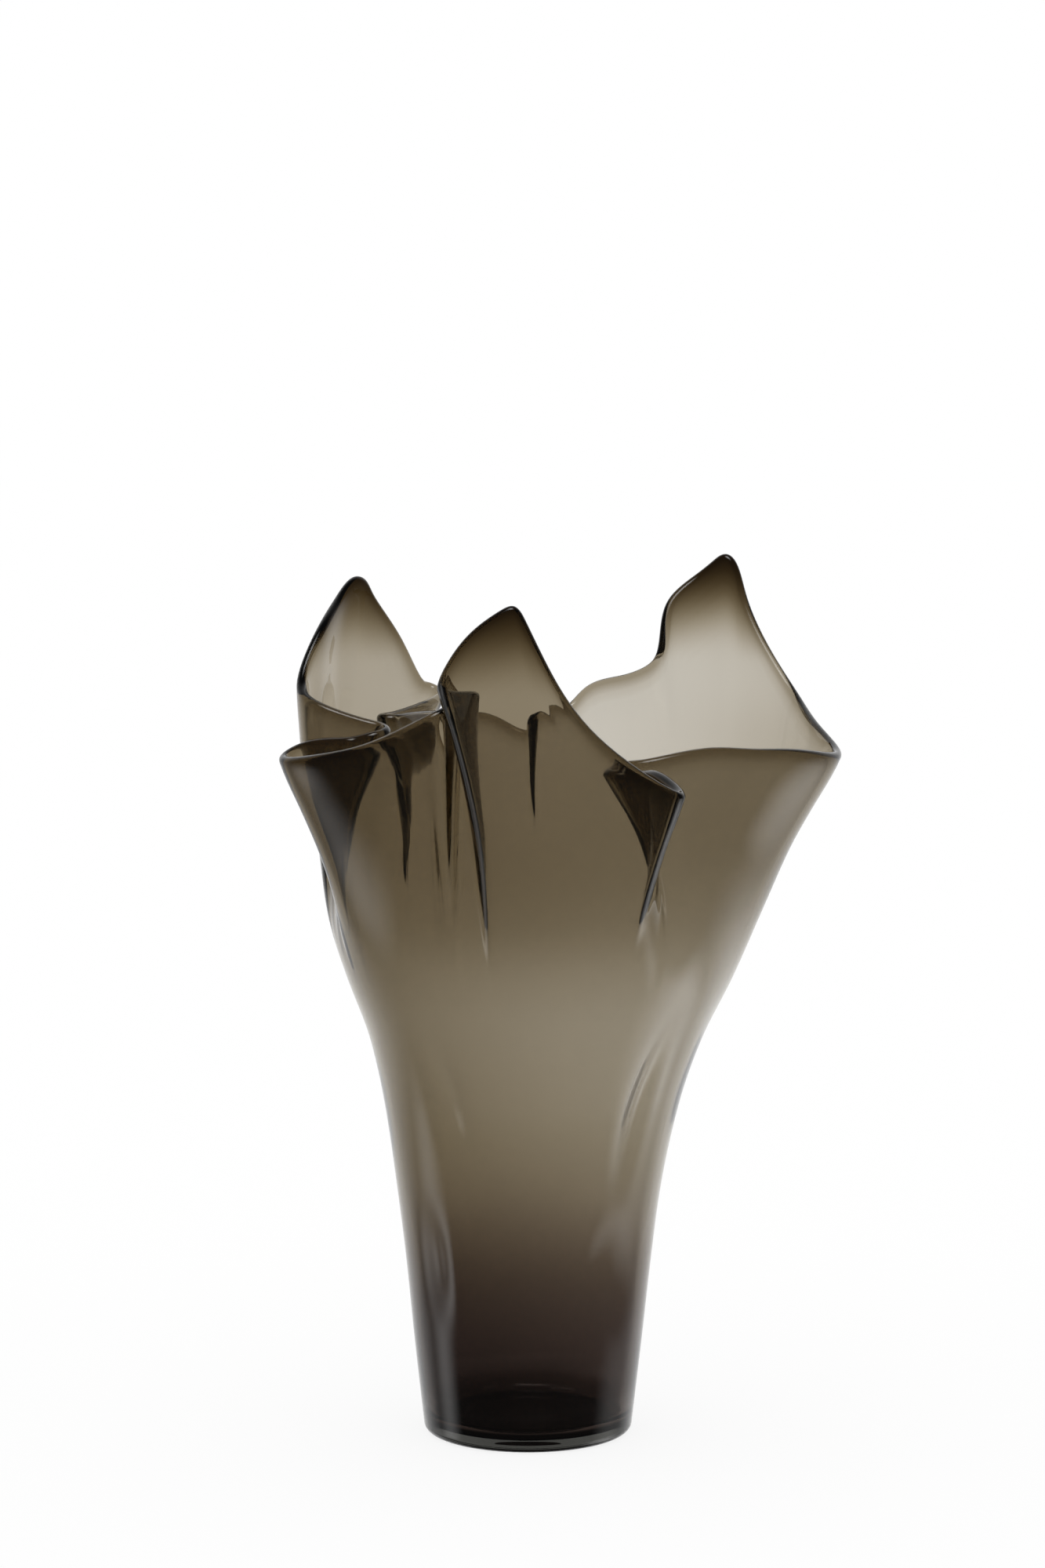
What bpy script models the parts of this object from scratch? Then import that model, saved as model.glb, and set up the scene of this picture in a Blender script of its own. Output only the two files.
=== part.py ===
# Blown glass vase with a folded rim: one piece of smoky glass on a clear foot.
# Lengths here are millimetres and angles are degrees, counter-clockwise from +X seen from above.
# The vase stands on z = 0 with the middle of its foot at the origin, and its front faces -Y.

import math

import bpy
import numpy as np

MM = 0.001

# Overall size, out to out. The tables below hold places on a vase of the drawn size, and follow this one.
WIDTH = 242.8
DEPTH = 201.6
HEIGHT = 382.2
DRAWN_SIZE = (242.8, 201.6, 382.2)
STRETCH = (WIDTH / DRAWN_SIZE[0], DEPTH / DRAWN_SIZE[1], HEIGHT / DRAWN_SIZE[2])

# Glass thickness
WALL = 3.4  # blown wall
FOOT_WALL = 6.0  # wall where it meets the foot, the extra on the inside
FOOT_WALL_FADE = 30.0  # height over which the foot's extra thickness fades out
RIM_BEAD = 4.6  # fire-polished edge, thicker than the wall
BEAD_REACH = 22.0  # how far below the edge the wall starts to thicken
FLOOR = 4.5  # glass under the hollow
PLEAT_GAP = 1.4  # clear space left inside a tight pleat

# Foot
FOOT_RADIUS = 45.6  # outside, at the height where the heel rounding ends
HEEL = 4.0  # rounding from the flat underside to the wall
CORNER = 9.0  # rounding from the floor of the hollow to the wall
CORNER_CLEAR = 4.0  # height left free of wall rows above that rounding

# Body above the foot: height, then the outer radius towards the left, right, front and back
BODY = [
    (40, 50.0, 50.2, 50.0, 50.0),
    (80, 54.0, 54.6, 54.2, 54.2),
    (106, 57.2, 57.9, 57.5, 57.5),
    (148, 63.2, 66.7, 65.0, 64.5),
    (176, 69.3, 76.2, 73.0, 71.5),
    (204, 79.5, 90.0, 82.0, 79.5),
    (232, 88.5, 102.0, 90.5, 86.0),
    (260, 95.0, 114.0, 98.0, 91.0),
    (300, 107.0, 135.0, 105.0, 96.0),
    (380, 118.0, 160.0, 112.0, 102.0),
]

# Soft valleys pressed in the body: angle and height of the upper end, the same for the lower end,
# width across and depth. A negative depth is a ridge.
VALLEYS = [
    (233, 196, 243, 118, 7, 2.6),
    (321, 206, 311, 104, 6.5, 3.1),
    (309, 112, 300, 58, 9, 1.6),
    (315, 106, 320, 46, 8, 1.3),
    (222, 118, 224, 50, 8, 1.7),
    (232, 120, 236, 46, 8, -1.0),
    (150, 190, 146, 96, 14, 2.0),
    (52, 200, 58, 110, 14, 2.2),
    (100, 190, 97, 120, 16, 1.5),
]

# Mesh fineness: columns from one landmark of the rim to the next, and rows in each part of a column
FREE_COLUMNS = 2
TURN_COLUMNS = 1
WALL_ROWS = 15
CAP_ROWS = 4
HEEL_ROWS = 3
CORNER_ROWS = 4
FINER = 8  # columns for each one of the mesh, where directions are measured
SLOPE_STEP = 1e-4  # share of a column's height over which its slope is measured
SHARP_EDGE = 60.0  # angle from which an edge of the mesh is shaded sharp

SPREAD = 0.6  # columns spread along the rim by this power of the distance between landmarks


def point(x, y, z, foot, start, swell=0):
    """A landmark on the rim's centre line: its place, then how the wall below it runs.

    The glass rises from the angle foot and leaves the round body at the height start. Halfway up the
    fold it bows out by swell.
    """
    place = (x * STRETCH[0], y * STRETCH[1], z * STRETCH[2])
    return [place + (foot, start * STRETCH[2], swell, FREE_COLUMNS)]


def turn(x, y, z, aim, radius, arm, lift, foot, spread, start, out=False, swell=0):
    """A hairpin in the rim: its tip at x, y, z points along aim, between two arms, straight for arm.

    It is a pleat pushed in, or a loop pushed out. The rim climbs by lift from side to side, and the
    glass below spreads over spread degrees.
    """
    ahead = np.array([math.cos(math.radians(aim)), math.sin(math.radians(aim))])
    across = np.array([-ahead[1], ahead[0]]) * (-1 if out else 1)
    half_way = math.sqrt(0.5)
    stops = [(-1, arm, 1)] if arm else []
    stops += [(-0.5, radius, 1), (-0.25, radius * (1 - half_way), half_way)]
    stops += [(0, 0, 0)] + [(-place, back, -over) for place, back, over in stops[::-1]]
    tip = np.array([x * STRETCH[0], y * STRETCH[1]])
    marks = []
    for place, back, over in stops:
        spot = tip - back * ahead + over * radius * across
        height = z * STRETCH[2] + place * lift / 2
        from_height = start * STRETCH[2]
        marks.append((spot[0], spot[1], height, foot + place * spread / 2, from_height, swell, TURN_COLUMNS))
    return marks


# Distance from the middle of a tight pleat to the middle of its wall
TIGHT = (RIM_BEAD + PLEAT_GAP) / 2

# Rim, counter-clockwise from the right tip: lobes of free edge, and the pleats between them
RIM = (
    point(134, -4, 300, 358.5, 170)  # right lobe
    + point(127, 28, 309, 9, 170)
    + point(119, 54, 320.5, 18, 170)
    + point(108.5, 67, 337, 24, 170)
    + point(97, 79.5, 362, 31, 170)
    + point(92.5, 83.5, 377, 34, 170)
    + point(89.5, 85, 380, 35.5, 170)  # tall peak at the back right
    + point(85.5, 87, 377.5, 37, 172)
    + point(79, 89, 372, 39.5, 176)
    + point(71, 87.5, 366, 42, 186)
    + point(64.5, 84, 358.5, 44.5, 196)
    + point(61.8, 79, 346, 46.9, 204)
    + point(58.5, 75, 334, 50, 206)  # broad hollow pushed in at the back right
    + point(50.5, 75.5, 328.3, 54, 206)
    + point(41, 80.5, 325, 58.7, 203)
    + point(28, 88, 320, 66, 200)
    + point(19, 87, 311.5, 74, 212)
    + point(8, 80, 309.5, 82, 210)  # small tuck at the back
    + point(2.5, 81.5, 308, 86, 204)
    + point(0.5, 90, 301, 89.5, 204)
    + point(-5, 92.5, 301, 94, 212)
    + point(-15, 92.5, 305.5, 101, 222)
    + point(-30, 83, 309, 114, 218)
    + turn(-63, 41, 311.5, 239, 4.4, 13, 0, 130.5, 11, 190, swell=-7)  # S fold at the back left
    + turn(-42, 89, 320, 59, 5.0, 0, 12, 144.5, 10, 196, out=True, swell=3)  # its outer bend
    + point(-59, 81, 343, 152, 200)
    + point(-71.5, 72, 364, 156, 192)
    + point(-74.5, 69.5, 370, 157.5, 190)  # left peak
    + point(-77.5, 66, 371, 159, 190)
    + point(-84, 56, 363.5, 163, 190)
    + point(-92, 36, 350, 170, 190)
    + point(-99.3, 17, 328.5, 176.5, 200)
    + point(-92, 3, 321, 183, 212)
    + turn(-62, -10, 311, 350, 5.8, 14, -8, 194, 14, 211)  # open pleat on the left
    + point(-94, -23, 306.5, 203.5, 218)
    + point(-104.5, -33, 301.5, 207.5, 215)  # left tip, turned out
    + point(-86, -56, 304.5, 218, 200)
    + point(-63, -71, 312, 231, 200)
    + turn(-25, -60, 330, 70, TIGHT, 24, 8, 253.5, 14, 188)  # deep pleat at the front left
    + point(-35.5, -98, 338, 265.5, 197)
    + point(-29, -103.5, 352, 269.5, 194)
    + point(-19, -104, 363, 273, 192)
    + point(-9.5, -104, 369.5, 276.5, 190)
    + point(-6.5, -104, 370.5, 277.5, 190)  # front peak
    + point(-3.5, -104, 366.5, 278.5, 190)
    + point(6.5, -103, 346, 283, 190)
    + point(31.5, -101, 313, 291, 205)
    + point(62.5, -100, 293, 298, 215)  # spout turned out at the front right
    + point(54, -76, 299, 302, 216)
    + turn(36, -58, 300, 165, 5.4, 13, 4, 312, 11, 206)  # open pleat at the front right
    + point(75, -50, 306, 323.5, 200)
    + point(96, -43, 305, 334, 185)
    + point(116, -31, 303.5, 346, 170)
)


def ring_spline(knots, period, values, at):
    """Smooth closed curve through values at knots, read at the given places."""
    count = len(knots)
    gap = np.diff(np.append(knots, knots[0] + period))
    rise = (np.roll(values, -1, axis=0) - values) / gap[:, None]
    matrix = np.zeros((count, count))
    for i in range(count):
        matrix[i, i - 1] += gap[i - 1]
        matrix[i, i] += 2 * (gap[i - 1] + gap[i])
        matrix[i, (i + 1) % count] += gap[i]
    bend = np.linalg.solve(matrix, 6 * (rise - np.roll(rise, 1, axis=0)))
    near = np.clip(np.searchsorted(knots, at, side="right") - 1, 0, count - 1)
    far = (near + 1) % count
    step = gap[near][:, None]
    a = (at - knots[near])[:, None]
    b = step - a
    curve = (bend[near] * b**3 + bend[far] * a**3) / (6 * step)
    curve += (values[near] / step - bend[near] * step / 6) * b
    return curve + (values[far] / step - bend[far] * step / 6) * a


def steady_curve(x, y, at):
    """Smooth curve through points that rises wherever they rise, with straight ends."""
    step = np.diff(x)
    slope = np.diff(y) / step
    tilt = np.concatenate([slope[:1], np.zeros(len(x) - 2), slope[-1:]])
    for i in range(1, len(x) - 1):
        if slope[i - 1] * slope[i] > 0:
            before = 2 * step[i] + step[i - 1]
            after = step[i] + 2 * step[i - 1]
            tilt[i] = (before + after) / (before / slope[i - 1] + after / slope[i])
    i = np.clip(np.searchsorted(x, at, side="right") - 1, 0, len(x) - 2)
    t = (at - x[i]) / step[i]
    rise = y[i] * (1 + 2 * t) * (1 - t) ** 2 + y[i + 1] * t * t * (3 - 2 * t)
    return rise + step[i] * (tilt[i] * t * (1 - t) ** 2 + tilt[i + 1] * t * t * (t - 1))


def valley_depth(angle, z, radius):
    """How far the soft valleys push the body in at an angle and a height."""
    depth = np.zeros_like(radius)
    for top_angle, top, low_angle, low, width, deep in VALLEYS:
        along = np.clip((z / STRETCH[2] - low) / (top - low), 0, 1)
        centre = np.radians(low_angle + (top_angle - low_angle) * along)
        away = np.angle(np.exp(1j * (angle - centre))) * radius / width
        depth += deep * np.sin(math.pi * along) ** 2 * np.exp(-(away**2))
    return depth


def body(angle, z):
    """The middle of the wall before folding: x and y at an angle round the foot and a height."""
    across, along, up = STRETCH
    table = np.array(BODY) * (up, across, across, along, along)
    table = np.vstack([(0, FOOT_RADIUS, FOOT_RADIUS, FOOT_RADIUS, FOOT_RADIUS), table])
    left, right, front, back = (steady_curve(table[:, 0], table[:, i], z) for i in (1, 2, 3, 4))
    radius = (left + right + front + back) / 4
    radius = radius + (left + right - front - back) / 4 * np.cos(2 * angle)
    radius = radius + (right - left) / 2 * np.cos(angle) + (back - front) / 2 * np.sin(angle)
    radius = radius - WALL / 2 - valley_depth(angle, z, radius)
    return radius * np.cos(angle), radius * np.sin(angle)


def rim_columns(finer=1):
    """Rim points, foot angles, fold starts and swells of each column of the mesh."""
    marks = np.array(RIM, float)
    turns = np.radians(np.unwrap(marks[:, 3], period=360))
    chord = np.linalg.norm(np.roll(marks[:, :3], -1, axis=0) - marks[:, :3], axis=1) ** SPREAD
    knots = np.concatenate([[0], np.cumsum(chord)[:-1]])
    period = chord.sum()
    counts = marks[:, 6].astype(int) * finer
    at = np.concatenate([knots[i] + chord[i] * np.arange(n) / n for i, n in enumerate(counts)])
    even = turns[0] + 2 * math.pi * knots / period
    values = np.column_stack([marks[:, :3], turns - even, marks[:, 4:6]])
    read = ring_spline(knots, period, values, at)
    return read[:, :3], read[:, 3] + turns[0] + 2 * math.pi * at / period, read[:, 4], read[:, 5]


def middle(columns, v):
    """The middle of the wall, from the heel at v = 0 to the rim at v = 1, one row for each v."""
    rim, angle, start, swell = columns
    z = HEEL + (rim[:, 2] - HEEL) * v[:, None]
    foot_x, foot_y = body(angle + 0 * z, z)
    edge_x, edge_y = body(angle, rim[:, 2])
    rise = np.clip((z - start) / (rim[:, 2] - start), 0, 1)
    fold = rise * rise * (3 - rise) / 2
    bow = swell * 4 * fold * (1 - fold)
    x = foot_x + (rim[:, 0] - edge_x) * fold + bow * np.cos(angle)
    y = foot_y + (rim[:, 1] - edge_y) * fold + bow * np.sin(angle)
    return np.stack([x, y, z], axis=-1)


def unit(vectors):
    return vectors / np.linalg.norm(vectors, axis=-1, keepdims=True)


def course(rings, at, reach):
    """Which way closed rings run at every so many points, taken over reach on either side.

    The stretch keeps the wall whole in bends that are tighter than it is thick.
    """
    ways = []
    for ring in rings:
        steps = np.linalg.norm(np.roll(ring, -1, axis=0) - ring, axis=1)
        run = np.concatenate([[0], np.cumsum(steps)[:-1]])
        ahead, behind = (
            np.stack([np.interp(run[::at] + way, run, ring[:, i], period=steps.sum()) for i in range(3)], -1)
            for way in (reach, -reach)
        )
        ways.append(ahead - behind)
    return np.stack(ways)


def walls(rows):
    """Outer and inner wall, each row of points from heel to rim, and the directions at the rim."""
    columns = rim_columns()
    rim = columns[0]
    v = np.append(np.linspace(0, 1, rows)[:-1], [1 - RIM_BEAD / rim[:, 2].max(), 1])
    here = middle(columns, v)
    up = middle(columns, v + SLOPE_STEP) - middle(columns, v - SLOPE_STEP)
    round_about = course(middle(rim_columns(FINER), v), FINER, WALL)
    out = unit(np.cross(round_about, up))
    below = np.clip((rim[:, 2] - here[..., 2]) / BEAD_REACH, 0, 1)[..., None]
    bead = (RIM_BEAD - WALL) / 2 * (1 - below * below * (3 - 2 * below))
    extra = (FOOT_WALL - WALL) * np.exp(-((here[..., 2:] / FOOT_WALL_FADE) ** 2))
    outer = here + out * (WALL / 2 + bead)
    outer[0, :, 2] = HEEL  # level, so that the underside is flat
    inner = here - out * (WALL / 2 + bead + extra)
    crest = unit(np.cross(out[-1], round_about[-1]))
    return outer, inner, here[-1], out[-1], crest


def shell_rows(rows):
    """Rings of points from the middle of the underside, up outside, over the rim and down inside."""
    outer, inner, edge, out, crest = walls(rows)
    rings = []
    foot = outer[0]
    spoke = unit(foot * (1, 1, 0))
    for i in range(HEEL_ROWS):
        a = math.pi / 2 * i / HEEL_ROWS
        rings.append(foot - HEEL * (spoke * (1 - math.sin(a)) + np.array([0, 0, math.cos(a)])))
    rings.extend(outer)
    for i in range(1, CAP_ROWS):
        a = math.pi * i / CAP_ROWS
        rings.append(edge + RIM_BEAD / 2 * (out * math.cos(a) + crest * math.sin(a)))
    bottom = FLOOR + CORNER
    rings.extend(row for row in inner[::-1] if row[:, 2].min() > bottom + CORNER_CLEAR)
    hollow = middle_ring(inner, bottom)
    for i in range(CORNER_ROWS):
        a = math.pi / 2 * i / (CORNER_ROWS - 1)
        rings.append(hollow - CORNER * (spoke * (1 - math.cos(a)) + np.array([0, 0, math.sin(a)])))
    return rings


def middle_ring(rows, z):
    """The ring at one height, between the rows above and below it."""
    heights = rows[..., 2]
    above = np.argmax(heights >= z, axis=0)
    column = np.arange(heights.shape[1])
    low, high = rows[above - 1, column], rows[above, column]
    share = ((z - low[:, 2]) / (high[:, 2] - low[:, 2]))[:, None]
    return low + (high - low) * share


def shell_mesh(name):
    """One closed mesh: the rings joined by quads, and a fan over the underside and the floor."""
    rings = shell_rows(WALL_ROWS)
    count = len(rings[0])
    points = np.concatenate(rings + [[(0, 0, 0)], [(0, 0, FLOOR)]]) * MM
    under, floor = len(points) - 2, len(points) - 1
    faces = []
    for row in range(len(rings) - 1):
        for i in range(count):
            j = (i + 1) % count
            a, b = row * count, (row + 1) * count
            faces.append((a + i, a + j, b + j, b + i))
    last = (len(rings) - 1) * count
    for i in range(count):
        j = (i + 1) % count
        faces.append((under, j, i))
        faces.append((floor, last + i, last + j))
    mesh = bpy.data.meshes.new(name)
    mesh.from_pydata(points.tolist(), [], faces)
    mesh.validate()
    mesh.shade_smooth()
    mesh.set_sharp_from_angle(angle=math.radians(SHARP_EDGE))
    return mesh


def smoky_glass():
    """Blown soda glass with a brown-grey tint."""
    material = bpy.data.materials.new("smoky glass")
    material.use_nodes = True
    shader = material.node_tree.nodes["Principled BSDF"]
    shader.inputs["Base Color"].default_value = (0.21, 0.18, 0.14, 1)
    shader.inputs["Roughness"].default_value = 0.02
    shader.inputs["Metallic"].default_value = 0
    shader.inputs["IOR"].default_value = 1.5
    shader.inputs["Transmission Weight"].default_value = 1
    return material


def main():
    for thing in list(bpy.data.objects):
        bpy.data.objects.remove(thing)
    vase = bpy.data.objects.new("glass_vase", shell_mesh("glass_vase"))
    vase.data.materials.append(smoky_glass())
    bpy.context.scene.collection.objects.link(vase)


main()
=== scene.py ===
# Blown smoky glass vase with a folded rim, standing on a pale studio floor.
# Lengths of the vase are millimetres and angles are degrees, counter-clockwise from +X seen from above.
# Lengths of the studio are metres.
import bpy
import math
import numpy as np
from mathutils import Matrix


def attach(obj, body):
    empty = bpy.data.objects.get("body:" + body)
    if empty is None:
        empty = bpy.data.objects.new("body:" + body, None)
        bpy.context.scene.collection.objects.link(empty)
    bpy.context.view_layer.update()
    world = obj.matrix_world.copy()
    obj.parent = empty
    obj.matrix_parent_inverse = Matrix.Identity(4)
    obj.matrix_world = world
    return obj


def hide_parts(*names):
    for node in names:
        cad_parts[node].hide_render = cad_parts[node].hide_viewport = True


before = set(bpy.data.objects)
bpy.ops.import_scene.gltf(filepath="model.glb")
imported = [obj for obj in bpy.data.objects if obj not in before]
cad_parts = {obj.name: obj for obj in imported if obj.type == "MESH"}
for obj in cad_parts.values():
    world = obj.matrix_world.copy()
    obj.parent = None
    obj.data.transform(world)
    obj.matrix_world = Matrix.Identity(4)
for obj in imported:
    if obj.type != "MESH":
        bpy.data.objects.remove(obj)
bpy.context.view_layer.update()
print("frame loaded")

mm = 0.001

# what shapes the vase: glass, foot, body, pressed valleys and the mesh's fineness
vase = {
    "wall": 3.4,          # blown wall
    "footWall": 6.0,      # wall where it meets the foot, the extra on the inside
    "footWallFade": 30.0,  # height over which that extra fades out
    "rimBead": 4.6,       # fire-polished edge
    "beadReach": 22.0,    # how far below the edge the wall starts to thicken
    "floor": 4.5,         # glass under the hollow
    "pleatGap": 1.4,      # clear space left inside a tight pleat
    "footRadius": 45.6,
    "heel": 4.0,          # rounding from the underside to the wall
    "corner": 9.0,        # rounding from the floor of the hollow to the wall
    "spread": 0.6,        # columns spread along the rim by this power of the landmarks' distance
    "freeColumns": 9,     # columns from a landmark to the next
    "turnColumns": 5,     # the same inside a hairpin
    "wallRows": 69,
    "capRows": 10,
    "heelRows": 8,
    "cornerRows": 10,
    "unevenInside": 0.10,  # hand-blown unevenness of the inner wall
    "unevenLength": 38,   # how far it is from one wave of it to the next
    "unevenSeed": 3,
    "unevenFade": 40.0,   # distance below the edge over which it comes in
    # height, then the outer radius towards the left, right, front and back
    "body": [
        (40, 50.0, 50.2, 50.0, 50.0),
        (80, 54.0, 54.6, 54.2, 54.2),
        (106, 57.2, 57.9, 57.5, 57.5),
        (148, 63.2, 66.7, 65.0, 64.5),
        (176, 69.3, 76.2, 73.0, 71.5),
        (204, 79.5, 90.0, 82.0, 79.5),
        (232, 88.5, 102.0, 90.5, 86.0),
        (260, 95.0, 114.0, 98.0, 91.0),
        (300, 107.0, 135.0, 105.0, 96.0),
        (380, 118.0, 160.0, 112.0, 102.0),
    ],
    # angle and height of the upper end, the same for the lower end, width across and depth
    "valleys": [
        (233, 196, 243, 118, 7, 2.6),
        (321, 206, 311, 104, 6.5, 3.1),
        (309, 112, 300, 58, 9, 1.6),
        (315, 106, 320, 46, 8, 1.3),
        (222, 118, 224, 50, 8, 1.7),
        (232, 120, 236, 46, 8, -1.0),
        (150, 190, 146, 96, 14, 2.0),
        (52, 200, 58, 110, 14, 2.2),
        (100, 190, 97, 120, 16, 1.5),
    ],
}

def edge(x, y, z, foot, start, swell=0):
    # a landmark on the middle of the free rim; the wall below it rises from the angle foot,
    # leaves the round body at the height start and bows out by swell halfway
    return [(x, y, z, foot, start, swell, vase["freeColumns"])]


def hairpin(x, y, z, aim, radius, arm, lift, foot, spread, start, out=False, swell=0):
    # a fold in the rim: half a circle whose tip points along aim, between two arms of a given length;
    # its points are tip - back * ahead + over * radius * across, climbing by lift from side to side
    ahead = np.array([math.cos(math.radians(aim)), math.sin(math.radians(aim))])
    across = np.array([-ahead[1], ahead[0]]) * (-1 if out else 1)
    diagonal = math.sqrt(0.5)
    stops = [(-1, arm, 1)] if arm else []
    stops += [(-0.5, radius, 1), (-0.25, radius * (1 - diagonal), diagonal)]
    stops += [(0, 0, 0)] + [(-place, back, -over) for place, back, over in stops[::-1]]
    marks = []
    for place, back, over in stops:
        spot = np.array([x, y]) - back * ahead + over * radius * across
        marks.append((spot[0], spot[1], z + place * lift / 2, foot + place * spread / 2, start, swell,
                      vase["turnColumns"]))
    return marks


# from the middle of a tight pleat to the middle of its wall
tight = (vase["rimBead"] + vase["pleatGap"]) / 2

# the rim, counter-clockwise from the right tip: lobes of free edge, and the folds between them
rimMarks = (
    edge(134, -4, 300, 358.5, 170)  # right lobe
    + edge(127, 28, 309, 9, 170)
    + edge(119, 54, 320.5, 18, 170)
    + edge(108.5, 67, 337, 24, 170)
    + edge(97, 79.5, 362, 31, 170)
    + edge(92.5, 83.5, 377, 34, 170)
    + edge(89.5, 85, 380, 35.5, 170)  # tall peak at the back right
    + edge(85.5, 87, 377.5, 37, 172)
    + edge(79, 89, 372, 39.5, 176)
    + edge(71, 87.5, 366, 42, 186)
    + edge(64.5, 84, 358.5, 44.5, 196)
    + edge(61.8, 79, 346, 46.9, 204)
    + edge(58.5, 75, 334, 50, 206)  # broad hollow pushed in at the back right
    + edge(50.5, 75.5, 328.3, 54, 206)
    + edge(41, 80.5, 325, 58.7, 203)
    + edge(28, 88, 320, 66, 200)
    + edge(19, 87, 311.5, 74, 212)
    + edge(8, 80, 309.5, 82, 210)  # small tuck at the back
    + edge(2.5, 81.5, 308, 86, 204)
    + edge(0.5, 90, 301, 89.5, 204)
    + edge(-5, 92.5, 301, 94, 212)
    + edge(-15, 92.5, 305.5, 101, 222)
    + edge(-30, 83, 309, 114, 218)
    + hairpin(-63, 41, 311.5, 239, 4.4, 13, 0, 130.5, 11, 190, swell=-7)  # S fold at the back left
    + hairpin(-42, 89, 320, 59, 5.0, 0, 12, 144.5, 10, 196, out=True, swell=3)  # its outer bend
    + edge(-59, 81, 343, 152, 200)
    + edge(-71.5, 72, 364, 156, 192)
    + edge(-74.5, 69.5, 370, 157.5, 190)  # left peak
    + edge(-77.5, 66, 371, 159, 190)
    + edge(-84, 56, 363.5, 163, 190)
    + edge(-92, 36, 350, 170, 190)
    + edge(-99.3, 17, 328.5, 176.5, 200)
    + edge(-92, 3, 321, 183, 212)
    + hairpin(-62, -10, 311, 350, 5.8, 14, -8, 194, 14, 211)  # open pleat on the left
    + edge(-94, -23, 306.5, 203.5, 218)
    + edge(-104.5, -33, 301.5, 207.5, 215)  # left tip, turned out
    + edge(-86, -56, 304.5, 218, 200)
    + edge(-63, -71, 312, 231, 200)
    + hairpin(-25, -60, 330, 70, tight, 24, 8, 253.5, 14, 188)  # deep pleat at the front left
    + edge(-35.5, -98, 338, 265.5, 197)
    + edge(-29, -103.5, 352, 269.5, 194)
    + edge(-19, -104, 363, 273, 192)
    + edge(-9.5, -104, 369.5, 276.5, 190)
    + edge(-6.5, -104, 370.5, 277.5, 190)  # front peak
    + edge(-3.5, -104, 366.5, 278.5, 190)
    + edge(6.5, -103, 346, 283, 190)
    + edge(31.5, -101, 313, 291, 205)
    + edge(62.5, -100, 293, 298, 215)  # spout turned out at the front right
    + edge(54, -76, 299, 302, 216)
    + hairpin(36, -58, 300, 165, 5.4, 13, 4, 312, 11, 206)  # open pleat at the front right
    + edge(75, -50, 306, 323.5, 200)
    + edge(96, -43, 305, 334, 185)
    + edge(116, -31, 303.5, 346, 170)
)


def closedCurve(knots, period, values, at):
    # periodic cubic spline: the second derivatives solve a cyclic three-band system, then each stretch is
    # (M0 b^3 + M1 a^3) / 6h + (v0 / h - M0 h / 6) b + (v1 / h - M1 h / 6) a
    count = len(knots)
    gap = np.diff(np.append(knots, knots[0] + period))
    rise = (np.roll(values, -1, axis=0) - values) / gap[:, None]
    row = np.arange(count)
    matrix = np.zeros((count, count))
    matrix[row, row - 1] += gap[row - 1]
    matrix[row, row] += 2 * (gap[row - 1] + gap[row])
    matrix[row, (row + 1) % count] += gap[row]
    bend = np.linalg.solve(matrix, 6 * (rise - np.roll(rise, 1, axis=0)))
    near = np.clip(np.searchsorted(knots, at, side="right") - 1, 0, count - 1)
    far = (near + 1) % count
    h = gap[near][:, None]
    a = (at - knots[near])[:, None]
    b = h - a
    return ((bend[near] * b**3 + bend[far] * a**3) / (6 * h)
            + (values[near] / h - bend[near] * h / 6) * b
            + (values[far] / h - bend[far] * h / 6) * a)


def steadyCurve(x, y, at):
    # cubic through points that never turns back between them: the slope at a point is the weighted
    # harmonic mean of the slopes on either side, with straight ends
    x, y = np.asarray(x, float), np.asarray(y, float)
    step = np.diff(x)
    slope = np.diff(y) / step
    before = 2 * step[1:] + step[:-1]
    after = step[1:] + 2 * step[:-1]
    left, right = slope[:-1], slope[1:]
    same = left * right > 0
    safeLeft, safeRight = np.where(same, left, 1), np.where(same, right, 1)
    inner = np.where(same, (before + after) / (before / safeLeft + after / safeRight), 0)
    tilt = np.concatenate([slope[:1], inner, slope[-1:]])
    i = np.clip(np.searchsorted(x, at, side="right") - 1, 0, len(x) - 2)
    t = (at - x[i]) / step[i]
    return (y[i] * (1 + 2 * t) * (1 - t) ** 2 + y[i + 1] * t * t * (3 - 2 * t)
            + step[i] * (tilt[i] * t * (1 - t) ** 2 + tilt[i + 1] * t * t * (t - 1)))


def aroundMean(left, right, front, back, angle):
    # a value round the vase from its four sides: the mean, plus the second wave, plus the two first waves
    return ((left + right + front + back) / 4 + (left + right - front - back) / 4 * np.cos(2 * angle)
            + (right - left) / 2 * np.cos(angle) + (back - front) / 2 * np.sin(angle))


def valleyDepth(angle, z, radius):
    # sum over the valleys of depth * sin(pi * along)^2 * exp(-(across / width)^2)
    depth = np.zeros_like(radius)
    for topAngle, top, lowAngle, low, width, deep in vase["valleys"]:
        along = np.clip((z - low) / (top - low), 0, 1)
        centre = np.radians(lowAngle + (topAngle - lowAngle) * along)
        away = np.angle(np.exp(1j * (angle - centre))) * radius / width
        depth = depth + deep * np.sin(math.pi * along) ** 2 * np.exp(-(away**2))
    return depth


def roundBody(angle, z):
    # middle of the wall before folding: radius(angle, z) * (cos angle, sin angle)
    foot = (0,) + (vase["footRadius"],) * 4
    table = np.array([foot] + vase["body"], float)
    sides = [steadyCurve(table[:, 0], table[:, i], z) for i in (1, 2, 3, 4)]
    radius = aroundMean(*sides, angle) - vase["wall"] / 2
    radius = radius - valleyDepth(angle, z, radius)
    return radius * np.cos(angle), radius * np.sin(angle)


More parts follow.
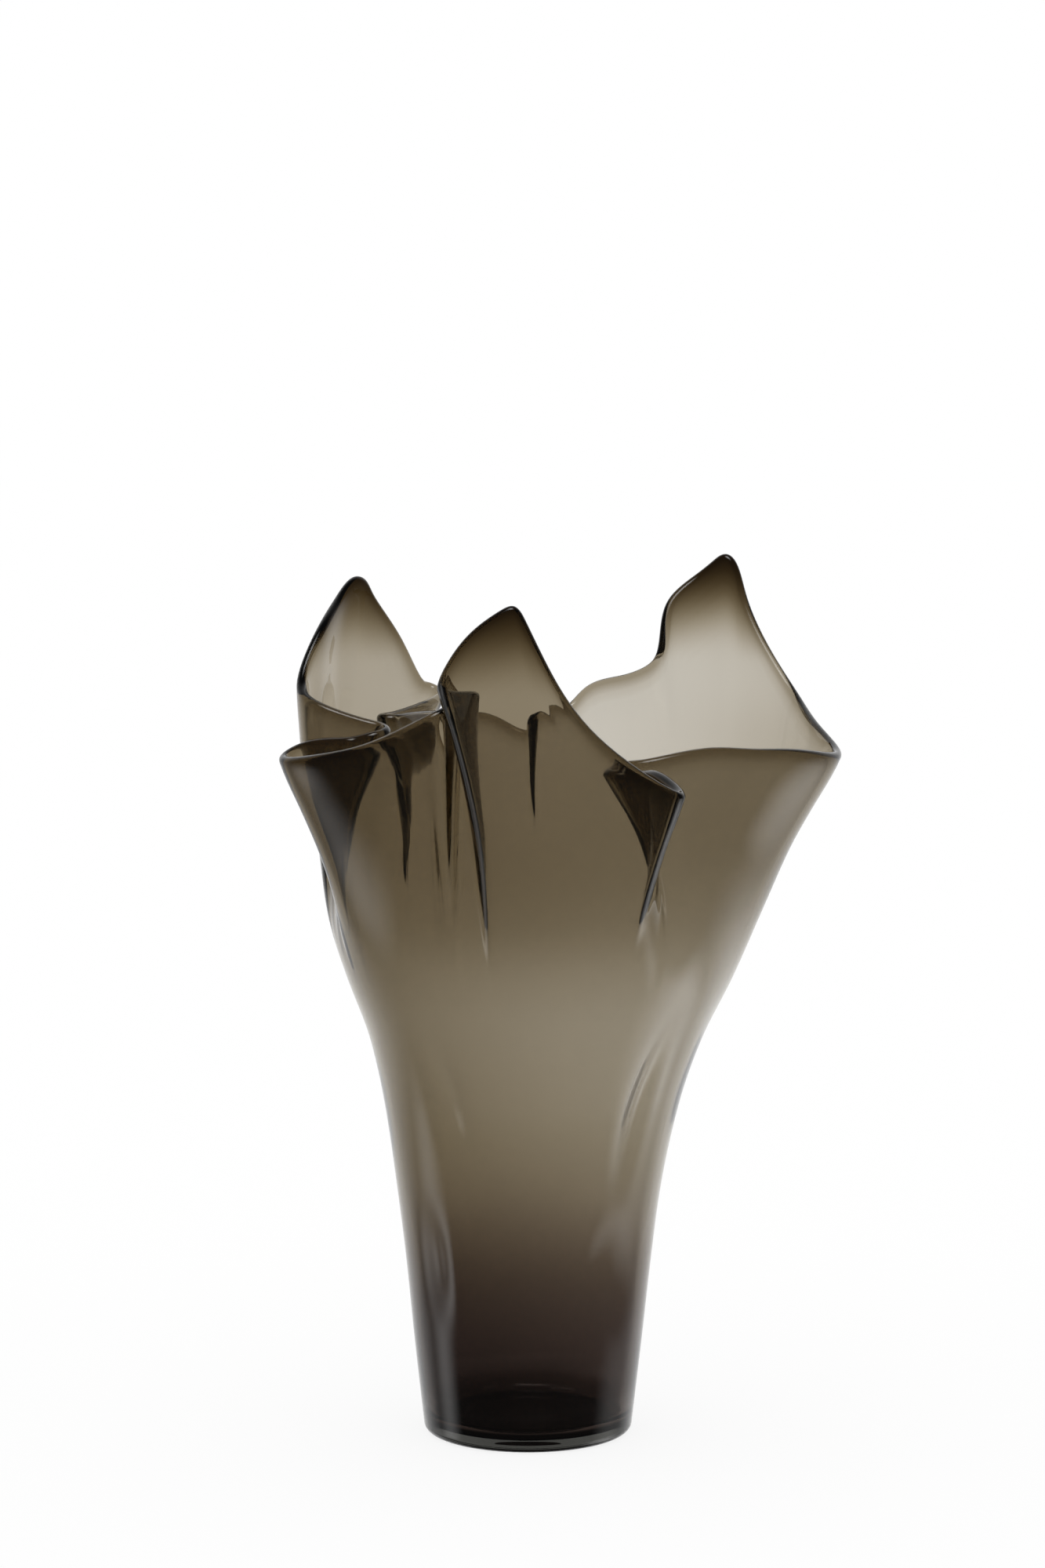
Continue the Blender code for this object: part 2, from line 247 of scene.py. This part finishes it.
def rimColumns(finer=1):
    # the rim's centre line read at each column, with the column's foot angle, fold start and swell
    marks = np.array(rimMarks, float)
    turns = np.radians(np.unwrap(marks[:, 3], period=360))
    chord = np.linalg.norm(np.roll(marks[:, :3], -1, axis=0) - marks[:, :3], axis=1) ** vase["spread"]
    knots = np.concatenate([[0], np.cumsum(chord)[:-1]])
    period = chord.sum()
    counts = marks[:, 6].astype(int) * finer
    which = np.repeat(np.arange(len(marks)), counts)
    inside = np.arange(counts.sum()) - np.repeat(np.cumsum(counts) - counts, counts)
    at = knots[which] + chord[which] * inside / counts[which]
    even = turns[0] + 2 * math.pi * knots / period
    values = np.column_stack([marks[:, :3], turns - even, marks[:, 4:6]])
    read = closedCurve(knots, period, values, at)
    return read[:, :3], read[:, 3] + turns[0] + 2 * math.pi * at / period, read[:, 4], read[:, 5]


def wallMiddle(columns, v):
    # surface(u, v): the round body plus (rim - body at the rim) * fold, where fold = r^2 (3 - r) / 2 and
    # r climbs from 0 at the fold's start to 1 at the rim, plus swell * 4 fold (1 - fold) outwards
    rim, angle, start, swell = columns
    heel = vase["heel"]
    z = heel + (rim[:, 2] - heel) * v[:, None]
    footX, footY = roundBody(angle + 0 * z, z)
    edgeX, edgeY = roundBody(angle, rim[:, 2])
    climb = np.clip((z - start) / (rim[:, 2] - start), 0, 1)
    fold = climb * climb * (3 - climb) / 2
    bow = swell * 4 * fold * (1 - fold)
    x = footX + (rim[:, 0] - edgeX) * fold + bow * np.cos(angle)
    y = footY + (rim[:, 1] - edgeY) * fold + bow * np.sin(angle)
    return np.stack([x, y, z], axis=-1)


def unit(vectors):
    return vectors / np.linalg.norm(vectors, axis=-1, keepdims=True)


def ringCourse(rings, reach):
    # which way each closed ring runs: the point reach ahead minus the point reach behind, along the ring,
    # so that the wall stays whole in bends tighter than it is thick
    ways = []
    for ring in rings:
        steps = np.linalg.norm(np.roll(ring, -1, axis=0) - ring, axis=1)
        run = np.concatenate([[0], np.cumsum(steps)[:-1]])
        ahead, behind = (
            np.stack([np.interp(run + way, run, ring[:, i], period=steps.sum()) for i in range(3)], -1)
            for way in (reach, -reach)
        )
        ways.append(ahead - behind)
    return np.stack(ways)


def softWaves(points, length, seed):
    # smooth unevenness round 0: a few sine waves in seeded directions, each about length long, added
    # and divided by the root of their number
    dice = np.random.default_rng(seed)
    total = 0
    for _ in range(7):
        way = unit(dice.normal(size=3)) * 2 * math.pi / (length * dice.uniform(0.7, 1.5))
        total = total + np.sin(points @ way + dice.uniform(0, 2 * math.pi))
    return total / 7 ** 0.5


def vaseWalls():
    # outer and inner wall = middle +- out * (wall / 2 + bead), from heel to rim; the bead is a smooth step
    # over the last stretch below the edge, and the inner wall gains the foot's extra
    columns = rimColumns()
    rim = columns[0]
    v = np.linspace(0, 1, vase["wallRows"]) ** 0.9
    step = 1e-4
    here = wallMiddle(columns, v)
    up = wallMiddle(columns, v + step) - wallMiddle(columns, v - step)
    out = unit(np.cross(ringCourse(here, vase["wall"]), up))
    roundAbout = ringCourse(here[-1:], vase["wall"])[0]
    below = rim[:, 2] - here[..., 2]
    near = np.clip(below / vase["beadReach"], 0, 1)[..., None]
    bead = (vase["rimBead"] - vase["wall"]) / 2 * (1 - near * near * (3 - 2 * near))
    extra = (vase["footWall"] - vase["wall"]) * np.exp(-((here[..., 2:] / vase["footWallFade"]) ** 2))
    calm = np.clip(below / vase["unevenFade"], 0, 1)[..., None]
    waves = softWaves(here, vase["unevenLength"], vase["unevenSeed"])[..., None]
    uneven = vase["unevenInside"] * waves * calm
    outer = here + out * (vase["wall"] / 2 + bead)
    outer[0, :, 2] = vase["heel"]  # level, so that the underside is flat
    inner = here - out * (vase["wall"] / 2 + bead + extra + uneven)
    crest = unit(np.cross(out[-1], roundAbout))
    return outer, inner, here[-1], out[-1], crest, columns[1]


def ringAtHeight(rows, z):
    # the ring at one height: each column read between the rows above and below it
    heights = rows[..., 2]
    above = np.argmax(heights >= z, axis=0)
    column = np.arange(heights.shape[1])
    low, high = rows[above - 1, column], rows[above, column]
    share = ((z - low[:, 2]) / (high[:, 2] - low[:, 2]))[:, None]
    return low + (high - low) * share


# how smoky the glass is, with painted shade at the edge and the peaks; the depth table: height, then the
# optical depth of the wall towards the left, right, front and back
smokeAndPaintedShade = {
    "depth": [
        (0, 3.8, 3.2, 3.8, 3.8),
        (26, 2.10, 1.55, 1.90, 1.90),
        (57, 1.85, 1.35, 1.60, 1.60),
        (78, 1.50, 1.08, 1.28, 1.28),
        (98, 1.18, 0.76, 0.96, 0.96),
        (119, 0.98, 0.66, 0.78, 0.78),
        (139, 0.92, 0.56, 0.70, 0.70),
        (160, 0.84, 0.52, 0.62, 0.62),
        (190, 0.80, 0.52, 0.62, 0.58),
        (214, 0.88, 0.60, 0.78, 0.58),
        (240, 0.96, 0.72, 1.18, 0.54),
        (267, 1.04, 0.84, 1.36, 0.50),
        (300, 1.04, 0.84, 1.38, 0.46),
        (330, 1.00, 0.72, 1.34, 0.52),
        (380, 1.05, 0.76, 1.42, 0.66),
    ],
    "glassItself": 0.06,  # part of that depth which the glass between its faces takes
    "least": 0.3,         # depth that no part of the wall goes below
    "rimPaintedShade": 1.2,      # painted shade: extra depth just below the rim's edge, where it stands high
    "rimReach": 26.0,     # how far down it fades
    "peakFrom": 335.0,    # height above which the peaks take painted shade
    "peakTo": 378.0,
    # painted shade at the tips of the peaks, fading down from the edge
    "peakPaintedShade": 2.2,
    "peakReach": 45.0,    # how far down from the edge of a peak that fades
    "beadPaintedShade": 0.6,     # painted shade: extra on the polished edge itself, which draws the rim as a dark line
    "beadDown": 3.2,
    "hue": (1.0, 1.15, 1.46),      # how much more the smoke takes of green and blue than of red
    "footHue": (1.0, 1.13, 1.20),  # the same at the foot, where it is nearer to plain grey
    "footHueTo": 45.0,             # height up to which the foot's hue is pure
    "hueFrom": 120.0,              # height above which it has gone
    "casing": 12.0,       # height below which all the smoke lies on the inside, round a clear foot
    "casingFade": 10.0,   # height over which it comes through to both sides
}


def smokeAndPaintedShadeDepth(angle, z, below):
    # optical depth of the wall: the table read by height and side, plus painted shade at the peaks, the
    # edge and the bead, each falling as exp(-(distance below the edge / reach)^2)
    table = np.array(smokeAndPaintedShade["depth"], float)
    sides = [steadyCurve(table[:, 0], table[:, i], z) for i in (1, 2, 3, 4)]
    depth = np.clip(aroundMean(*sides, angle) - smokeAndPaintedShade["glassItself"], smokeAndPaintedShade["least"], None)
    peak = np.clip((z - smokeAndPaintedShade["peakFrom"]) / (smokeAndPaintedShade["peakTo"] - smokeAndPaintedShade["peakFrom"]), 0, 1)
    edgeShare = np.exp(-((below / smokeAndPaintedShade["rimReach"]) ** 2))
    beadShare = np.exp(-((below / smokeAndPaintedShade["beadDown"]) ** 2))
    peakShare = np.exp(-((below / smokeAndPaintedShade["peakReach"]) ** 2))
    # the peaks, the edge and the bead take painted shade on top of the table's smoke
    return (depth + smokeAndPaintedShade["peakPaintedShade"] * peak * peak * peakShare
            + smokeAndPaintedShade["rimPaintedShade"] * edgeShare * peak + smokeAndPaintedShade["beadPaintedShade"] * beadShare)


def vaseShell():
    # rings of points from the underside up the outer wall, over the bead and down the inner wall,
    # each with its smoke and painted shade: closed by a fan under the foot and one on the floor of the
    # hollow
    outer, inner, edgeLine, out, crest, angle = vaseWalls()
    rim = edgeLine[:, 2]
    heel, corner, floor = vase["heel"], vase["corner"], vase["floor"]
    turn = np.linspace(0, math.pi / 2, vase["heelRows"] + 1)[:-1, None, None]
    spoke = unit(outer[0] * (1, 1, 0))
    down = np.array([0, 0, 1.0])
    heelRings = outer[0] - heel * (spoke * (1 - np.sin(turn)) + down * np.cos(turn))
    over = np.linspace(0, math.pi, vase["capRows"] + 1)[1:-1, None, None]
    capRings = edgeLine + vase["rimBead"] / 2 * (out * np.cos(over) + crest * np.sin(over))
    bottom = floor + corner
    inside = inner[::-1]
    inside = inside[inside[..., 2].min(axis=1) > bottom + 2]
    hollow = ringAtHeight(inner, bottom)
    fall = np.linspace(0, math.pi / 2, vase["cornerRows"])[:, None, None]
    cornerRings = hollow - corner * (spoke * (1 - np.cos(fall)) + down * np.sin(fall))
    rings = np.concatenate([heelRings, outer, capRings, inside, cornerRings])
    outside = np.zeros(len(rings))
    outside[: len(heelRings) + len(outer)] = 1
    depth = smokeAndPaintedShadeDepth(angle, rings[..., 2], np.clip(rim - rings[..., 2], 0, None))
    # the smoke is shared by both faces, and near the foot the inner one takes it all
    clear = np.clip((smokeAndPaintedShade["casing"] + smokeAndPaintedShade["casingFade"] - rings[..., 2]) / smokeAndPaintedShade["casingFade"], 0, 1)
    depth = depth * (1 + clear * (1 - 2 * outside[:, None]))
    count = rings.shape[1]
    points = np.concatenate([rings.reshape(-1, 3), [(0, 0, 0), (0, 0, floor)]])
    depths = np.concatenate([depth.ravel(), [0, depth[-1].mean()]])
    row = np.arange(len(rings) - 1)[:, None] * count
    i = np.arange(count)[None, :]
    j = (i + 1) % count
    quads = np.stack([row + i, row + j, row + count + j, row + count + i], axis=-1).reshape(-1, 4)
    under, bed = len(points) - 2, len(points) - 1
    last = (len(rings) - 1) * count
    i, j = i[0], j[0]
    underFan = np.stack([0 * i + under, j, i], -1)
    bedFan = np.stack([0 * i + bed, last + i, last + j], -1)
    fans = np.concatenate([underFan, bedFan])
    return points, depths, quads, fans


def meshFromArrays(name, points, quads, fans):
    # fills a mesh from arrays: corners first the quads', then the triangles'
    mesh = bpy.data.meshes.new(name)
    mesh.vertices.add(len(points))
    mesh.vertices.foreach_set("co", (points * mm).astype(np.float32).ravel())
    corners = np.concatenate([quads.ravel(), fans.ravel()]).astype(np.int32)
    sizes = np.concatenate([np.full(len(quads), 4), np.full(len(fans), 3)])
    mesh.loops.add(len(corners))
    mesh.loops.foreach_set("vertex_index", corners)
    mesh.polygons.add(len(sizes))
    mesh.polygons.foreach_set("loop_start", (np.cumsum(sizes) - sizes).astype(np.int32))
    mesh.update(calc_edges=True)
    mesh.validate()
    mesh.shade_smooth()
    return mesh


points, depths, quads, fans = vaseShell()
vaseMesh = meshFromArrays("smokyVase", points, quads, fans)
# colour of the smoke and the painted shade: exp(-depth * hue), the hue going from the foot's to the body's
# as the wall climbs
lift = np.clip((points[:, 2:] - smokeAndPaintedShade["footHueTo"]) / (smokeAndPaintedShade["hueFrom"] - smokeAndPaintedShade["footHueTo"]), 0, 1)
hue = np.array(smokeAndPaintedShade["footHue"]) * (1 - lift) + np.array(smokeAndPaintedShade["hue"]) * lift
tint = np.exp(-depths[:, None] * hue)
layer = vaseMesh.attributes.new("smokeAndPaintedShade", "FLOAT_COLOR", "POINT")
colours = np.column_stack([tint, np.ones(len(tint))]).astype(np.float32)
layer.data.foreach_set("color", colours.ravel())
vasePiece = bpy.data.objects.new("smokyVase", vaseMesh)
bpy.context.scene.collection.objects.link(vasePiece)
print("vase:", len(quads) * 2 + len(fans), "triangles")


def linear(hexColour):
    # sRGB hex to linear: c / 12.92 below 0.04045, else ((c + 0.055) / 1.055) ^ 2.4
    parts = [int(hexColour[i:i + 2], 16) / 255 for i in (1, 3, 5)]
    return [c / 12.92 if c <= 0.04045 else ((c + 0.055) / 1.055) ** 2.4 for c in parts] + [1]


def addNode(tree, kind, settings=None, links=None):
    # one node: settings go on its properties or its sockets, links join other nodes' outputs to its sockets
    node = tree.nodes.new(kind)
    for key, value in (settings or {}).items():
        if isinstance(key, str) and hasattr(node, key):
            setattr(node, key, value)
        else:
            node.inputs[key].default_value = value
    for key, source in (links or {}).items():
        tree.links.new(source, node.inputs[key])
    return node


# blown soda-lime glass cased over a smoke layer: clear and glossy all over, brown grey by the depth of the
# smoke, and darker still where light runs along inside the wall, as at the rim and in tight folds
glassLook = {
    "ior": 1.5,
    "roughness": 0.0,
    "through": (32.0, 32.0, 33.0),  # optical depth of a metre of the glass itself in red, green and blue
}


def smokyGlass():
    # outer side of a face: gloss over glass of the smoke colour; its inner side: glass of smoke ^ 0.5;
    # in between, light falls as exp(-through * metres)
    material = bpy.data.materials.new("smoky cased glass, blown")
    material.use_nodes = True
    tree = material.node_tree
    tree.nodes.clear()
    colour = addNode(tree, "ShaderNodeAttribute", {"attribute_name": "smokeAndPaintedShade"})
    shader = addNode(tree, "ShaderNodeBsdfPrincipled",
                     {"Roughness": glassLook["roughness"], "IOR": glassLook["ior"], "Metallic": 0,
                      "Transmission Weight": 1},
                     {"Base Color": colour.outputs["Color"]})
    # the smoke lies inside the clear casing, so light that turns back within the wall meets it too
    half = addNode(tree, "ShaderNodeGamma", {"Gamma": 0.5}, {"Color": colour.outputs["Color"]})
    within = addNode(tree, "ShaderNodeBsdfGlass",
                     {"Roughness": glassLook["roughness"], "IOR": glassLook["ior"]},
                     {"Color": half.outputs[0]})
    side = addNode(tree, "ShaderNodeNewGeometry")
    faces = addNode(tree, "ShaderNodeMixShader", None,
                    {0: side.outputs["Backfacing"], 1: shader.outputs[0], 2: within.outputs[0]})
    # absorption is density * (1 - colour), so the density is kept a little above the largest depth
    most = 1.05 * max(glassLook["through"])
    left = [1 - lost / most for lost in glassLook["through"]] + [1]
    depth = addNode(tree, "ShaderNodeVolumeAbsorption", {"Color": left, "Density": most})
    addNode(tree, "ShaderNodeOutputMaterial", None,
            {"Surface": faces.outputs[0], "Volume": depth.outputs[0]})
    return material


vaseMesh.materials.append(smokyGlass())
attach(vasePiece, "root")
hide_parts("glass_vase")
print("glass done")

# studio: a matt white floor in white surroundings, and what gloss on the glass finds there
studio = {
    "floorColour": "#FFFFFF",
    "floorGlow": 0.85,       # share of the floor that is plain white to the lens, the rest takes the shadow
    "under": 0.045,          # painted shadow: the floor is dark this close to the vase's axis, under the foot
    "paintedShadowFade": 0.006,      # over how much the painted shadow turns dark
    "coneWidth": 0.12,       # half the width of the painted white pool on the floor, beside the vase
    "coneSpread": 1.2,       # how much that grows for each metre back
    "coneFade": 0.1,         # how soft its side is
    "front": 0.06,           # how bright the room is to gloss on the camera's side
    "behind": 0.95,
    "shade": 0.04,           # how bright the painted shadow on the floor is, under the foot
    "beside": 0.62,          # how bright the floor is through the glass, away from the painted white pool behind
    "dark": 0.2,             # how bright the room is through the glass there
    "glossFrom": 0.1,        # gloss starts to find white where a direction points this far back, of 1
    "glossTo": 0.95,         # and finds it all here
    "throughFrom": 0.45,     # the same for what is seen through the glass
    "throughTo": 0.8,
    # soft boxes at the sides and overhead, for gloss: azimuth and height of the middle, half width,
    # half height and brightness
    "boxes": [(174, -21, 9, 5, 1.1), (13, -36, 15, 9, 1.9), (260, 62, 14, 14, 6.0)],
}


def studioFloor():
    mesh = bpy.data.meshes.new("studioFloor")
    mesh.from_pydata([(-9, -9, 0), (9, -9, 0), (9, 9, 0), (-9, 9, 0)], [], [(0, 1, 2, 3)])
    floorPiece = bpy.data.objects.new("studioFloor", mesh)
    floorPiece.location.z = -0.0002
    floorPiece.visible_glossy = False
    bpy.context.scene.collection.objects.link(floorPiece)
    material = bpy.data.materials.new("matt white paper sweep")
    material.use_nodes = True
    tree = material.node_tree
    tree.nodes.clear()
    ray = addNode(tree, "ShaderNodeLightPath")
    lensShare = addNode(tree, "ShaderNodeMath", {"operation": "MULTIPLY", 1: studio["floorGlow"]},
                        {0: ray.outputs["Is Camera Ray"]})
    seen = addNode(tree, "ShaderNodeMath", {"operation": "MAXIMUM"},
                   {0: lensShare.outputs[0], 1: ray.outputs["Is Transmission Ray"]})
    # through the glass the floor glows in a painted pool of white, smoothstep((spread * y + width - |x|) /
    # fade) from beside to white, times smoothstep of the distance from the axis, a painted shadow under the
    # foot
    place = addNode(tree, "ShaderNodeTexCoord").outputs["Object"]
    away = addNode(tree, "ShaderNodeVectorMath", {"operation": "LENGTH"}, {0: place})
    axes = addNode(tree, "ShaderNodeSeparateXYZ", None, {0: place})
    aside = addNode(tree, "ShaderNodeMath", {"operation": "ABSOLUTE"}, {0: axes.outputs["X"]})
    cone = addNode(tree, "ShaderNodeMath",
                   {"operation": "MULTIPLY_ADD", 1: studio["coneSpread"], 2: studio["coneWidth"]},
                   {0: axes.outputs["Y"]})
    inside = addNode(tree, "ShaderNodeMath", {"operation": "SUBTRACT"},
                     {0: cone.outputs[0], 1: aside.outputs[0]})
    behind = addNode(tree, "ShaderNodeMapRange",
                     {"interpolation_type": "SMOOTHSTEP", "From Min": 0.0, "From Max": studio["coneFade"],
                      "To Min": studio["beside"], "To Max": 1.0}, {"Value": inside.outputs[0]})
    clear = addNode(tree, "ShaderNodeMapRange",
                    {"interpolation_type": "SMOOTHSTEP", "From Min": studio["under"] - studio["paintedShadowFade"],
                     "From Max": studio["under"], "To Min": studio["shade"], "To Max": 1.0},
                    {"Value": away.outputs["Value"]})
    lit = addNode(tree, "ShaderNodeMath", {"operation": "MULTIPLY"},
                  {0: behind.outputs[0], 1: clear.outputs[0]})
    # the lens sees plain white instead
    lit = addNode(tree, "ShaderNodeMath", {"operation": "MAXIMUM"},
                  {0: lit.outputs[0], 1: ray.outputs["Is Camera Ray"]})
    matt = addNode(tree, "ShaderNodeBsdfDiffuse", {"Color": linear(studio["floorColour"])})
    glow = addNode(tree, "ShaderNodeEmission", None, {"Strength": lit.outputs[0]})
    both = addNode(tree, "ShaderNodeMixShader", None,
                   {0: seen.outputs[0], 1: matt.outputs[0], 2: glow.outputs[0]})
    addNode(tree, "ShaderNodeOutputMaterial", None, {"Surface": both.outputs[0]})
    mesh.materials.append(material)


def studioWorld():
    # plain white for the lens and the floor; through the glass smoothstep(y) from dark to white behind;
    # for gloss smoothstep(y) from front to behind, plus the soft boxes
    world = bpy.data.worlds.new("studio")
    bpy.context.scene.world = world
    world.use_nodes = True
    tree = world.node_tree
    tree.nodes.clear()
    ray = addNode(tree, "ShaderNodeLightPath")
    place = addNode(tree, "ShaderNodeTexCoord").outputs["Generated"]
    axes = addNode(tree, "ShaderNodeSeparateXYZ", None, {0: place})
    gloss = addNode(tree, "ShaderNodeMapRange",
                    {"interpolation_type": "SMOOTHSTEP", "From Min": studio["glossFrom"],
                     "From Max": studio["glossTo"], "To Min": studio["front"], "To Max": studio["behind"]},
                    {"Value": axes.outputs["Y"]}).outputs[0]
    for azimuth, height, wide, tall, bright in studio["boxes"]:
        # a round spot, squeezed in height: fades with the distance from its middle
        flat = math.cos(math.radians(height))
        middle = (flat * math.cos(math.radians(azimuth)), flat * math.sin(math.radians(azimuth)),
                  math.sin(math.radians(height)))
        offset = addNode(tree, "ShaderNodeVectorMath", {"operation": "SUBTRACT", 1: middle}, {0: place})
        scaled = addNode(tree, "ShaderNodeVectorMath", {"operation": "MULTIPLY", 1: (1, 1, wide / tall)},
                         {0: offset.outputs[0]})
        far = addNode(tree, "ShaderNodeVectorMath", {"operation": "LENGTH"}, {0: scaled.outputs[0]})
        box = addNode(tree, "ShaderNodeMapRange",
                      {"interpolation_type": "SMOOTHSTEP", "From Min": 0.0,
                       "From Max": 2 * math.sin(math.radians(wide)), "To Min": bright, "To Max": 0.0},
                      {"Value": far.outputs["Value"]})
        gloss = addNode(tree, "ShaderNodeMath", {"operation": "ADD"},
                        {0: gloss, 1: box.outputs[0]}).outputs[0]
    through = addNode(tree, "ShaderNodeMapRange",
                      {"interpolation_type": "SMOOTHSTEP", "From Min": studio["throughFrom"],
                       "From Max": studio["throughTo"], "To Min": studio["dark"], "To Max": 1.0},
                      {"Value": axes.outputs["Y"]})
    white = (1, 1, 1, 1)
    plain = addNode(tree, "ShaderNodeBackground", {"Strength": 1.0, "Color": white})
    glossSide = addNode(tree, "ShaderNodeBackground", {"Color": white}, {"Strength": gloss})
    glassSide = addNode(tree, "ShaderNodeBackground", {"Color": white}, {"Strength": through.outputs[0]})
    first = addNode(tree, "ShaderNodeMixShader", None,
                    {0: ray.outputs["Is Glossy Ray"], 1: plain.outputs[0], 2: glossSide.outputs[0]})
    both = addNode(tree, "ShaderNodeMixShader", None,
                   {0: ray.outputs["Is Transmission Ray"], 1: first.outputs[0], 2: glassSide.outputs[0]})
    addNode(tree, "ShaderNodeOutputWorld", None, {"Surface": both.outputs[0]})


studioFloor()
studioWorld()
scene = bpy.context.scene
scene.cycles.max_bounces = 32
scene.cycles.transmission_bounces = 32
scene.cycles.glossy_bounces = 16
scene.view_settings.view_transform = "Standard"
print("studio done")

# the photo's camera, whose frame takes in 19.5 degrees from top to bottom
lens = {
    "back": 1990.0,   # distance to the point on the vase's axis that it looks at
    "tilt": 6.5,      # how far it looks down
    "level": 287.2,   # height of that point
    "side": -2.4,
    "focal": 5820.0,  # focal length and frame height in pixels
    "frame": 2000.0,
    "sensor": 36.0,   # height of the sensor
}
camera = bpy.data.cameras.new("camera")
camera.sensor_fit = "VERTICAL"
camera.sensor_height = lens["sensor"]
camera.lens = lens["sensor"] * lens["focal"] / lens["frame"]
camera.clip_end = 50
eye = bpy.data.objects.new("camera", camera)
eye.location = (lens["side"] * mm, -lens["back"] * math.cos(math.radians(lens["tilt"])) * mm,
                (lens["level"] + lens["back"] * math.sin(math.radians(lens["tilt"]))) * mm)
eye.rotation_euler = (math.radians(90 - lens["tilt"]), 0, 0)
scene.collection.objects.link(eye)
scene.camera = eye

print("camera done")
